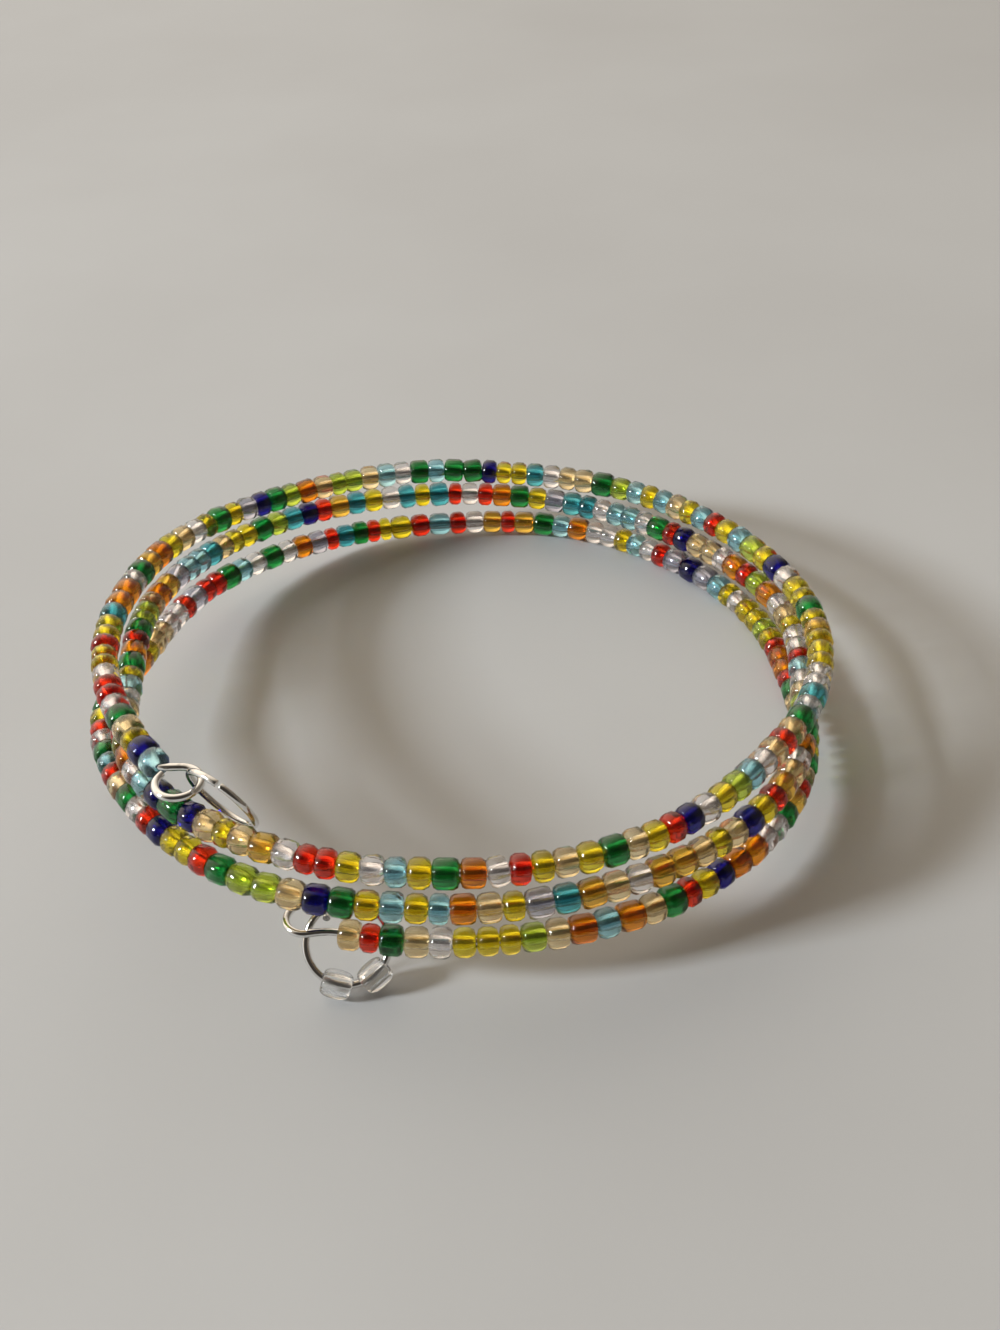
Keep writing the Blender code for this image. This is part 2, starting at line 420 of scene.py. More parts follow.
class NodeDesk:
    """The node tree of one material, or of the room, with its shader ready to be fed."""

    def __init__(self, owner: bpy.types.Material | bpy.types.World, shader: str) -> None:
        """Start on a new owner's nodes.

        Args:
            owner: the material or world.
            shader: the name of its shader node.
        """
        owner.use_nodes = True
        self.owner = owner
        self.tree = owner.node_tree
        self.shader = self.tree.nodes[shader]

    def node(
        self,
        kind: str,
        settings: dict[str, object] | None = None,
        sockets: dict[str | int, Fed] | None = None,
    ) -> bpy.types.Node:
        """Add a node.

        Args:
            kind: the node's type.
            settings: its own settings, set first; "stops" holds a ramp's places and colours.
            sockets: values or links of its inputs, by name or number.

        Returns:
            The node.
        """
        made = self.tree.nodes.new(kind)
        for name, value in (settings or {}).items():
            if name == "stops":
                ramp = made.color_ramp
                for place, colour in value[1:-1]:
                    ramp.elements.new(place).color = (*colour, 1.0)
                for index in (0, -1):
                    ramp.elements[index].position = value[index][0]
                    ramp.elements[index].color = (*value[index][1], 1.0)
            else:
                setattr(made, name, value)
        for key, value in (sockets or {}).items():
            self.feed(made.inputs[key], value)
        return made

    def feed(self, target: bpy.types.NodeSocket, value: Fed) -> None:
        """Link something to an input, or set a plain value on it.

        Args:
            target: the input.
            value: an expression, a socket, a colour, a vector or a number.
        """
        if isinstance(value, Amount):
            value = value.socket
        if isinstance(value, bpy.types.NodeSocket):
            self.tree.links.new(value, target)
        elif isinstance(value, tuple) and target.type == "RGBA":
            target.default_value = (*value[:3], 1.0)
        else:
            target.default_value = value

    def marked(self, name: str) -> Amount:
        """Return an attribute of the mesh as a number."""
        node = self.node("ShaderNodeAttribute", {"attribute_name": name})
        return Amount(self, node.outputs["Fac"])

    def wrapped(
        self, around: float, along: float, shift: Amount | float = 0.0
    ) -> bpy.types.NodeSocket:
        """Return the piece's own map as a spot on a cylinder.

        Args:
            around: how far one turn round the piece counts.
            along: how far one length along it counts.
            shift: how far along the cylinder this piece's spots begin.

        Returns:
            The vector socket.
        """
        own_map = self.node("ShaderNodeUVMap", {"uv_map": "wrap"})
        parts = self.node("ShaderNodeSeparateXYZ", None, {0: own_map.outputs[0]})
        turned = Amount(self, parts.outputs[0]) * math.tau
        wide = around / math.tau
        height = Amount(self, parts.outputs[1]) * along + shift
        sockets = {0: turned.cosine() * wide, 1: turned.sine() * wide, 2: height}
        return self.node("ShaderNodeCombineXYZ", None, sockets).outputs[0]

    def here(self, scale: float) -> bpy.types.NodeSocket:
        """Return the object's own coordinates, scaled.

        Args:
            scale: the factor.

        Returns:
            The vector socket.
        """
        spot = self.node("ShaderNodeTexCoord").outputs["Object"]
        sockets = {0: spot, "Scale": scale}
        return self.node("ShaderNodeVectorMath", {"operation": "SCALE"}, sockets).outputs[0]

    def toward(self, way: Sequence[float]) -> Amount:
        """Return how far the room's own direction goes one way, for the room only.

        Args:
            way: the direction asked for, of any length.

        Returns:
            The cosine of the angle between the two.
        """
        seen = self.node("ShaderNodeTexCoord").outputs["Generated"]
        sockets = {0: seen, 1: Vector(way).normalized()}
        node = self.node("ShaderNodeVectorMath", {"operation": "DOT_PRODUCT"}, sockets)
        return Amount(self, node.outputs["Value"])

    def grain(self, where: bpy.types.NodeSocket, detail: float) -> Amount:
        """Return cloudy noise with one cloud a unit.

        Args:
            where: the coordinates.
            detail: how many finer layers lie over the clouds.

        Returns:
            The noise, from 0 to 1.
        """
        sockets = {"Vector": where, "Scale": 1.0, "Detail": detail}
        return Amount(self, self.node("ShaderNodeTexNoise", None, sockets).outputs[0])

    def blend(self, first: Fed, second: Fed, share: Amount) -> bpy.types.NodeSocket:
        """Return a mix of two colours.

        Args:
            first: the colour at share 0.
            second: the colour at share 1.
            share: how much of the second.

        Returns:
            The colour socket.
        """
        settings = {"data_type": "RGBA", "clamp_factor": True}
        return self.node("ShaderNodeMix", settings, {0: share, 6: first, 7: second}).outputs[2]

    def relief(self, height: Amount, depth: float, strength: float) -> bpy.types.NodeSocket:
        """Return a normal bent by a relief.

        Args:
            height: the relief's height, from 0 to 1.
            depth: what a height of 1 comes to, in metres.
            strength: how much of the bend shows.

        Returns:
            The vector socket.
        """
        sockets = {"Strength": strength, "Distance": depth, "Height": height}
        return self.node("ShaderNodeBump", None, sockets).outputs[0]

    def finish(self, **sockets: Fed) -> bpy.types.Material | bpy.types.World:
        """Feed the shader.

        Args:
            sockets: what goes to each input; its name has _ for a space.

        Returns:
            The finished material or world.
        """
        for name, value in sockets.items():
            title = name.replace("_", " ").title().replace("Ior", "IOR")
            self.feed(self.shader.inputs[title], value)
        return self.owner


# Finishes


PRINCIPLED = "Principled BSDF"


@dataclass(frozen=True)
class GlassFinish:
    """Transparent coloured glass with fine draw lines along the bead, and rims at the bore that are
    rougher and painted paler, a painted highlight.
    """

    name: str
    pale: Colour
    deep: Colour
    # rim: the paler colour painted at the bore's rims, a painted highlight
    rim: Colour
    clear: float = 0.94
    roughness: float = 0.035
    ior: float = 1.51
    lines_around: float = 18.0
    lines_along: float = 0.9
    lines_shift: float = 37.0
    clouds_around: float = 2.2
    clouds_along: float = 0.7
    clouds_shift: float = 91.0
    lines_frost: float = 0.05
    rim_frost: float = 0.16
    # how much of the painted rim highlight shows in the colour
    rim_highlight_share: float = 0.55
    relief_depth: float = 0.05 * MM
    relief_strength: float = 0.9

    def material(self) -> bpy.types.Material:
        """Return the glass: tint by bead, lines drawn along it, rims at the bore frosted rougher
        and painted paler as a highlight.

        Returns:
            The material.
        """
        desk = NodeDesk(bpy.data.materials.new(self.name), PRINCIPLED)
        tone = desk.marked("tone")
        rim = desk.marked("rim")
        lines_at = desk.wrapped(self.lines_around, self.lines_along, tone * self.lines_shift)
        lines = desk.grain(lines_at, 3.0)
        cloud_at = desk.wrapped(self.clouds_around, self.clouds_along, tone * self.clouds_shift)
        cloud = desk.grain(cloud_at, 2.0)
        depth = (tone * 0.55 + cloud * 0.45 + lines * 0.70 - 0.40).ranged(0.0, 1.0)
        body = desk.blend(self.pale, self.deep, depth)
        frosted = self.rim_frost * rim.ranged(0.4, 1.0)
        dulled = self.lines_frost * lines.ranged(0.45, 0.75) + frosted
        height = lines * 0.9 + cloud * 0.5
        return desk.finish(
            # Painted highlight: toward the bore's rims the colour turns to the paler rim colour.
            base_color=desk.blend(body, self.rim, rim.ranged(0.35, 1.0) * self.rim_highlight_share),
            roughness=self.roughness + dulled,
            ior=self.ior,
            transmission_weight=self.clear,
            normal=desk.relief(height, self.relief_depth, self.relief_strength),
        )


@dataclass(frozen=True)
class SteelFinish:
    """Bright drawn steel wire: fine lines along it and small dull, darker spots."""

    name: str
    bright: Colour
    dull: Colour
    roughness: float
    lines_around: float = 30.0
    lines_along: float = 0.8
    spots_a_metre: float = 900.0
    worn_roughness: float = 0.16
    relief_depth: float = 0.004 * MM
    relief_strength: float = 0.5

    def material(self) -> bpy.types.Material:
        """Return the steel, its draw lines running along the wire.

        Returns:
            The material.
        """
        desk = NodeDesk(bpy.data.materials.new(self.name), PRINCIPLED)
        lines = desk.grain(desk.wrapped(self.lines_around, self.lines_along), 3.0)
        spots = desk.grain(desk.here(self.spots_a_metre), 3.0)
        worn = spots.ranged(0.52, 0.72) * 0.7 + lines.ranged(0.45, 0.8) * 0.3
        return desk.finish(
            base_color=desk.blend(self.bright, self.dull, worn),
            metallic=1.0,
            roughness=self.roughness + self.worn_roughness * worn,
            normal=desk.relief(lines, self.relief_depth, self.relief_strength),
        )


@dataclass(frozen=True)
class TableFinish:
    """A plain pale painted board with the faintest mottle."""

    name: str
    light: Colour
    shade: Colour
    roughness: float = 0.62
    tooth_roughness: float = 0.12
    mottles_a_metre: float = 14.0
    teeth_a_metre: float = 1400.0
    relief_depth: float = 0.02 * MM
    relief_strength: float = 0.25

    def material(self) -> bpy.types.Material:
        """Return the board's paint.

        Returns:
            The material.
        """
        desk = NodeDesk(bpy.data.materials.new(self.name), PRINCIPLED)
        mottle = desk.grain(desk.here(self.mottles_a_metre), 4.0)
        tooth = desk.grain(desk.here(self.teeth_a_metre), 2.0)
        return desk.finish(
            base_color=desk.blend(self.light, self.shade, mottle.ranged(0.3, 0.7)),
            roughness=self.roughness + self.tooth_roughness * tooth,
            normal=desk.relief(tooth, self.relief_depth, self.relief_strength),
        )


STEEL_WIRE = SteelFinish("spring steel", (0.80, 0.80, 0.79), (0.52, 0.50, 0.48), roughness=0.06)
RING_STEEL = SteelFinish("ring steel", (0.76, 0.75, 0.73), (0.44, 0.42, 0.39), roughness=0.10)
BOARD = TableFinish("pale board", (0.532, 0.54, 0.538), (0.498, 0.502, 0.498))
CLEAR_GLASS = GlassFinish(
    "clear drop glass",
    pale=(0.985, 0.985, 0.98),
    deep=(0.94, 0.94, 0.93),
    # the rim colour paints a highlight at the bore's rims
    rim=(1.0, 1.0, 1.0),
    clear=0.98,
    roughness=0.015,
)
# Each glass: its pale and deep tints, and the paler rim colour painted at the bore's rims as a
# highlight.
GLASSES: dict[Glass, GlassFinish] = {
    kind: GlassFinish(f"{name} glass", pale, deep, rim)
    for kind, name, pale, deep, rim in (
        (Glass.CRYSTAL, "crystal", (0.97, 0.94, 0.93), (0.88, 0.84, 0.84), (1.0, 1.0, 1.0)),
        (Glass.CHAMPAGNE, "champagne", (0.95, 0.80, 0.50), (0.84, 0.62, 0.28), (1.0, 0.93, 0.74)),
        (Glass.YELLOW, "yellow", (0.92, 0.78, 0.04), (0.78, 0.60, 0.01), (1.0, 0.92, 0.30)),
        (Glass.AMBER, "amber", (0.92, 0.62, 0.10), (0.76, 0.42, 0.04), (1.0, 0.80, 0.40)),
        (Glass.LIME, "lime", (0.62, 0.76, 0.10), (0.42, 0.56, 0.04), (0.85, 0.95, 0.40)),
        (Glass.GREEN, "green", (0.02, 0.35, 0.07), (0.005, 0.17, 0.035), (0.12, 0.52, 0.20)),
        (Glass.RED, "red", (0.90, 0.055, 0.014), (0.66, 0.018, 0.006), (0.97, 0.20, 0.08)),
        (Glass.ORANGE, "orange", (0.88, 0.34, 0.012), (0.68, 0.19, 0.005), (0.98, 0.56, 0.16)),
        (Glass.NAVY, "navy", (0.010, 0.008, 0.24), (0.004, 0.003, 0.10), (0.07, 0.07, 0.40)),
        (Glass.SKY, "sky", (0.48, 0.80, 0.86), (0.28, 0.60, 0.70), (0.85, 0.97, 1.0)),
        (Glass.TEAL, "teal", (0.12, 0.54, 0.60), (0.04, 0.34, 0.42), (0.45, 0.80, 0.85)),
        (Glass.GREY, "grey violet", (0.66, 0.66, 0.74), (0.47, 0.47, 0.56), (0.90, 0.90, 0.97)),
    )
}


# The way the wire takes


def hermite(
    start: Blended, leaving: Blended, end: Blended, arriving: Blended, share: float
) -> Blended:
    """Blend two values, or two points, smoothly.

    Args:
        start: the value at share 0.
        leaving: its slope there, over the whole stretch.
        end: the value at share 1.
        arriving: its slope there.
        share: how far along the stretch, from 0 to 1.

    Returns:
        The value at the share.
    """
    squared = share * share
    cubed = squared * share
    return (
        start * (2 * cubed - 3 * squared + 1)
        + leaving * (cubed - 2 * squared + share)
        + end * (3 * squared - 2 * cubed)
        + arriving * (cubed - squared)
    )


@dataclass(frozen=True)
class CoilRoute:
    """The coil's centre line, as in the model's source."""

    radius: float = 30.0 * MM
    pitch: float = 3.0 * MM
    lean: float = 2.35 * MM
    lean_deg: float = 248.0
    bead: float = 2.2 * MM
    start_deg: float = 252.0
    end_deg: float = 1300.0
    height: float = 2.0230 * MM
    origin: tuple[float, float, float] = (0.0533 * MM, 0.3355 * MM, 0.0841 * MM)
    rows: tuple[tuple[float, float], ...] = (
        (248, 0.23), (275, 0.20), (300, 0.32), (325, 0.20), (342, -0.14), (362, -0.57),
        (382, -0.32), (405, -0.05), (430, 0.16), (455, -0.23), (480, -0.20), (505, -0.18),
        (530, -0.45), (548, 0.32), (575, 0.27), (602, 0.27), (620, 0.00), (650, 0.05),
        (685, 0.09), (712, -0.45), (735, 0.02), (765, 0.00), (800, 0.14), (845, 0.20),
        (875, -0.05), (906, -0.86), (932, -0.05), (960, -0.18), (985, -0.27), (1015, -0.23),
        (1042, -0.43), (1062, -0.05), (1085, 0.23), (1105, 0.18), (1135, 0.14), (1160, -0.09),
        (1175, 0.02), (1200, -0.07), (1230, 0.27), (1250, 0.00), (1285, -0.25), (1305, -0.05),
    )  # fmt: skip

    def slope(self, index: int) -> float:
        """Return the slope of the smooth curve at one row of the table.

        Args:
            index: the row.

        Returns:
            The slope, in bead diameters a degree.
        """
        before = self.rows[max(index - 1, 0)]
        after = self.rows[min(index + 1, len(self.rows) - 1)]
        return (after[1] - before[1]) / (after[0] - before[0])

    def outside(self, angle: float) -> float:
        """Return how far the string lies outside the coil's radius.

        Args:
            angle: where along the coil.

        Returns:
            The distance, in bead diameters.
        """
        index = 0
        while index < len(self.rows) - 2 and angle > self.rows[index + 1][0]:
            index += 1
        low, high = self.rows[index], self.rows[index + 1]
        span = high[0] - low[0]
        leaving, arriving = self.slope(index) * span, self.slope(index + 1) * span
        return hermite(low[1], leaving, high[1], arriving, (angle - low[0]) / span)

    def point(self, angle: float) -> Vector:
        """Return a point of the coil's centre line.

        Args:
            angle: where along the coil.

        Returns:
            The point.
        """
        reach = self.radius + self.bead * self.outside(angle)
        turned = math.radians(angle)
        climb = self.pitch * (angle - self.start_deg) / 360.0
        lean = self.lean * math.cos(math.radians(angle - self.lean_deg))
        height = self.height + climb + lean
        place = Vector((reach * math.cos(turned), reach * math.sin(turned), height))
        return place + Vector(self.origin)

    def direction(self, angle: float) -> Vector:
        """Return the direction in which the wire runs at an angle."""
        return (self.point(angle + 0.5) - self.point(angle - 0.5)).normalized()

    def measured(self, low: float, high: float, steps: int) -> list[tuple[float, float]]:
        """Measure the wire between two angles.

        Args:
            low: the first angle.
            high: the last angle.
            steps: how many stretches are measured.

        Returns:
            Pairs of length and angle, the length from the first angle.
        """
        rows = [(0.0, low)]
        before = self.point(low)
        for index in range(1, steps + 1):
            angle = low + (high - low) * index / steps
            here = self.point(angle)
            rows.append((rows[-1][0] + (here - before).length, angle))
            before = here
        return rows


@dataclass(frozen=True)
class WireEye:
    """The small loop at one end of the wire, as in the model's source."""

    route: CoilRoute
    end: WireEnd
    radius: float
    along_reach: float
    inward: float
    rise: float
    open_deg: float = 80.0
    neck_deg: float = 115.0
    neck_points: int = 10
    loop_points: int = 44

    @property
    def start_deg(self) -> float:
        """Return the angle where the string of beads ends."""
        return self.route.start_deg if self.end is WireEnd.LOWER else self.route.end_deg

    @property
    def start(self) -> Vector:
        """Return the wire's point where the string of beads ends."""
        return self.route.point(self.start_deg)

    @property
    def ahead(self) -> Vector:
        """Return the wire's next step past the string's end."""
        return self.route.point(self.start_deg + self.end.value) - self.start

    @property
    def along(self) -> Vector:
        """Return the level direction past the string's end."""
        ahead = self.ahead
        return Vector((ahead.x, ahead.y, 0.0)).normalized()

    @property
    def outward(self) -> Vector:
        """Return the level direction away from the coil's axis, square to the way along."""
        out = (self.start - Vector(self.route.origin)) * Vector((1.0, 1.0, 0.0))
        return (out - self.along * out.dot(self.along)).normalized()

    @property
    def centre(self) -> Vector:
        """Return the middle of the loop."""
        level = self.along * self.along_reach - self.outward * self.inward
        return self.start + level + Vector((0.0, 0.0, self.rise))

    def loop_point(self, angle: float) -> tuple[Vector, Vector]:
        """Return a point of the loop, and the way the wire runs there.

        Args:
            angle: how far round the loop.

        Returns:
            The point and the direction.
        """
        turned = math.radians(angle)
        across = self.outward * -self.end.value
        spoke = self.along * math.cos(turned) + across * math.sin(turned)
        run = self.along * math.sin(turned) - across * math.cos(turned)
        return self.centre + spoke * self.radius, run

    def points(self) -> list[Vector]:
        """Return the wire's points from the string's end, through the neck, round the loop.

        Returns:
            The points.
        """
        first, run = self.loop_point(self.neck_deg)
        reach = (first - self.start).length
        lead = self.ahead.normalized() * reach
        shares = [step / self.neck_points for step in range(1, self.neck_points)]
        neck = [hermite(self.start, lead, first, run * reach, share) for share in shares]
        turn = (360.0 - self.open_deg) / (self.loop_points - 1)
        loop = [self.loop_point(self.neck_deg - turn * step)[0] for step in range(self.loop_points)]
        return neck + loop


# The pieces


@dataclass(frozen=True)
class DrilledBead:
    """The form of one drilled glass bead, along Z at the origin.

    It is rounded at a half length of its own and then drawn out along Z, so that its rims may
    be longer than they are deep.
    """

    sides: int
    radius: float
    bore: float
    half: float
    rim: float
    rim_steps: int
    bore_rim: float = 0.0
    bore_rim_steps: int = 2
    drawn_out: float = 1.0
    # how far out from the bore, in bores, the glass is frosted and painted paler as a highlight
    frost_and_highlight_reach: float = 1.08
    smooth_deg: float = 58.0

    def build(self, name: str) -> bpy.types.Object:
        """Return the bead, with its map and the marks that the glass reads.

        Args:
            name: its name.

        Returns:
            The bead.
        """
        Bench.clear()
        bpy.ops.mesh.primitive_cylinder_add(
            vertices=self.sides,
            radius=self.radius,
            depth=2 * self.half,
            end_fill_type="NGON",
            calc_uvs=False,
        )
        bead = bpy.context.object
        bead.name = bead.data.name = name
        Bench.edit()
        Bench.pick_faces(lambda face: abs(face.normal.z) > 0.9)
        bpy.ops.mesh.inset(thickness=(self.radius - self.bore) * math.cos(math.pi / self.sides))
        bpy.ops.mesh.bridge_edge_loops()
        Bench.pick_rims(self.half, self.radius)
        Bench.bevel(self.rim, self.rim_steps)
        if self.bore_rim:
            Bench.pick_rims(self.half, self.bore)
            Bench.bevel(self.bore_rim, self.bore_rim_steps)
        bpy.ops.mesh.select_all(action="SELECT")
        bpy.ops.transform.resize(value=(1.0, 1.0, self.drawn_out), center_override=(0.0, 0.0, 0.0))
        Bench.close(self.smooth_deg)
        self.mark(bead)
        return bead

    def mark(self, bead: bpy.types.Object) -> None:
        """Give the bead its map, its marks at the bore's rims and room for a tone.

        Args:
            bead: the bead.
        """
        mesh = bead.data
        length = 2 * self.half * self.drawn_out
        # Within this reach of the bore the glass is frosted and carries the painted rim highlight.
        worn = self.frost_and_highlight_reach * self.bore

        def spot(vertex: int, face: bpy.types.MeshPolygon) -> Spot:
            """Return u once round the bead and v along it."""
            corner = mesh.vertices[vertex].co
            return beside(turn_of(corner), turn_of(face.center)), corner.z / length + 0.5

        Bench.wrap(bead, spot)
        # The rim mark: 1 at the bore's rims, where the glass is frosted and painted paler as a
        # highlight.
        rims = mesh.attributes.new("rim", "FLOAT", "POINT")
        for index, corner in enumerate(mesh.vertices):
            rims.data[index].value = float(corner.co.xy.length < worn)
        mesh.attributes.new("tone", "FLOAT", "POINT")


@dataclass
class SeedBeads:
    """All the seed beads of the string, one piece for each kind of glass."""

    route: CoilRoute
    sides: int = 12
    bore_share: float = 0.34
    rim_steps: int = 2
    sag: float = 0.05 * MM
    sag_shares: tuple[float, float] = (0.4, 1.0)
    size_shares: tuple[float, float] = (0.965, 1.035)
    oval_shares: tuple[float, float] = (0.985, 1.015)
    gap: float = 0.015 * MM
    tilt_deg: float = 3.2
    clearance: float = 0.01 * MM
    run_steps: int = 60
    seed: int = 41

    def cut_bead(self, cut: BeadCut) -> bpy.types.Object:
        """Return the model of a cut, 1 in radius and 2 long."""
        form = DrilledBead(
            sides=self.sides,
            radius=1.0,
            bore=self.bore_share,
            half=1.0,
            rim=cut.value,
            rim_steps=self.rim_steps,
        )
        return form.build(f"cut_{cut.name.lower()}")

    def laid_out(self) -> list[tuple[Glass, float, float]]:
        """Lay the beads out along the wire.

        Returns:
            For each bead its glass, its place as an angle, and its room on the wire.
        """
        dice = random.Random(self.seed)
        ends = [angle for angle, _ in CHART[1:]] + [CHART_END_DEG]
        beads = []
        for (low, letters), high in zip(CHART, ends):
            kinds = [Glass(letter) for letter in letters]
            lengths = [dice.uniform(*BEAD_SIZES[kind][1:3]) for kind in kinds]
            rows = self.route.measured(low, high, self.run_steps)
            scale = rows[-1][0] / sum(lengths)
            reached = 0.0
            for kind, length in zip(kinds, lengths):
                room = length * scale
                beads.append((kind, self.angle_at(rows, reached + room / 2), room))
                reached += room
        return beads

    @staticmethod
    def angle_at(rows: list[tuple[float, float]], length: float) -> float:
        """Find a length of wire.

        Args:
            rows: pairs of length and angle.
            length: the length looked for.

        Returns:
            The angle at which it is reached.
        """
        for (low, low_deg), (high, high_deg) in zip(rows, rows[1:]):
            if length <= high:
                return low_deg + (high_deg - low_deg) * (length - low) / (high - low)
        return rows[-1][1]

    def place(self, angle: float, radius: float, room: float, dice: random.Random) -> Matrix:
        """Hang one bead on the wire.

        Args:
            angle: where it is along the wire.
            radius: the bead's own radius.
            room: the length of wire it takes.
            dice: the seeded chance that tilts and rolls it.

        Returns:
            The transform from the cut bead to its place.
        """
        sag = self.sag * dice.uniform(*self.sag_shares)
        centre = self.route.point(angle) - Vector((0.0, 0.0, sag))
        run = self.route.direction(angle)
        side = Vector((0.0, 0.0, 1.0)).cross(run).normalized()
        axes = Matrix((side, run.cross(side), run)).transposed()
        tilt = Matrix.Rotation(math.radians(dice.gauss(0.0, self.tilt_deg)), 3, "X")
        yaw = Matrix.Rotation(math.radians(dice.gauss(0.0, self.tilt_deg)), 3, "Y")
        roll = Matrix.Rotation(dice.uniform(0.0, math.tau), 3, "Z")
        half = (room - self.gap) / 2
        size = Matrix.Diagonal((radius * dice.uniform(*self.oval_shares), radius, half))
        return Matrix.Translation(centre) @ (axes @ tilt @ yaw @ roll @ size).to_4x4()

    def build(self) -> list[bpy.types.Object]:
        """Build the beads.

        Returns:
            One piece for each kind of glass.
        """
        models = {cut: self.cut_bead(cut) for cut in BeadCut}
        dice = random.Random(self.seed + 1)
        strings: dict[Glass, list[bpy.types.Object]] = {kind: [] for kind in Glass}
        for kind, angle, room in self.laid_out():
            cut, _, _, diameter = BEAD_SIZES[kind]
            bead = models[cut].copy()
            bead.data = models[cut].data.copy()
            bpy.context.scene.collection.objects.link(bead)
            radius = diameter / 2 * dice.uniform(*self.size_shares)
            bead.data.transform(self.place(angle, radius, room, dice))
            lift = self.clearance - min(corner.co.z for corner in bead.data.vertices)
            bead.data.transform(Matrix.Translation((0.0, 0.0, max(lift, 0.0))))
            tone = dice.random()
            for mark in bead.data.attributes["tone"].data:
                mark.value = tone
            strings[kind].append(bead)
        for model in models.values():
            bpy.data.objects.remove(model, do_unlink=True)
        pieces = []
        for kind, beads in strings.items():
            piece = Bench.join(beads, f"beads_{kind.name.lower()}")
            piece.data.materials.append(GLASSES[kind].material())
            pieces.append(Bench.carry(piece, "seed_beads", "bead_string"))
        return pieces


@dataclass
class SpringWire:
    """The hard wire inside the beads, with the eye at each end."""

    route: CoilRoute
    lower_eye: WireEye
    upper_eye: WireEye
    diameter: float = 0.6 * MM
    sides: int = 12
    points_inside: int = 420
    end_round: float = 0.072 * MM
    end_steps: int = 2
    smooth_deg: float = 50.0

    def build(self) -> list[bpy.types.Object]:
        """Build the wire.

        Returns:
            The wire alone.
        """
        low, high = self.route.start_deg, self.route.end_deg
        step = (high - low) / (self.points_inside - 1)
        inside = [self.route.point(low + step * index) for index in range(self.points_inside)]
        wire = self.draw(self.lower_eye.points()[::-1] + inside + self.upper_eye.points())
        wire.name = wire.data.name = "spring_wire"
        wire.data.materials.append(STEEL_WIRE.material())
        return [Bench.carry(wire, "spring_wire", "coil_wire")]

    def draw(self, points: Sequence[Vector]) -> bpy.types.Object:
        """Draw round wire along points.

        Args:
            points: the wire's centre line.

        Returns:
            The wire as a mesh, its ends rounded over.
        """
        Bench.clear()
        bpy.ops.curve.primitive_nurbs_path_add()
        path = bpy.context.object
        curve = path.data
        curve.splines.clear()
        spline = curve.splines.new("POLY")
        spline.points.add(len(points) - 1)
        for mark, point in zip(spline.points, points):
            mark.co = (*point, 1.0)
        curve.dimensions = "3D"
        curve.bevel_depth = self.diameter / 2
        curve.bevel_resolution = self.sides // 2 - 2
        curve.use_fill_caps = True
        bpy.ops.object.convert(target="MESH")
        wire = bpy.context.object
        self.wrap_along(wire, points)
        Bench.take([wire])
        Bench.edit()
        Bench.pick_faces(lambda face: len(face.verts) > 4)
        Bench.bevel(self.end_round, self.end_steps)
        return Bench.close(self.smooth_deg)

    def wrap_along(self, wire: bpy.types.Object, points: Sequence[Vector]) -> None:
        """Give the wire a map: u once round it, v in millimetres along it.

        Args:
            wire: the wire, one ring of vertices to each point.
            points: its centre line.
        """
        sides = len(wire.data.vertices) // len(points)
        reach = [0.0]
        for before, after in zip(points, points[1:]):
            reach.append(reach[-1] + (after - before).length / MM)

        def spot(vertex: int, face: bpy.types.MeshPolygon) -> Spot:
            """Return the turn round the wire and the length along it; the caps come last."""
            ring, side = divmod(vertex, sides)
            turn = beside(side / sides, face.vertices[0] % sides / sides)
            return turn, reach[min(ring, len(reach) - 1)]

        Bench.wrap(wire, spot)


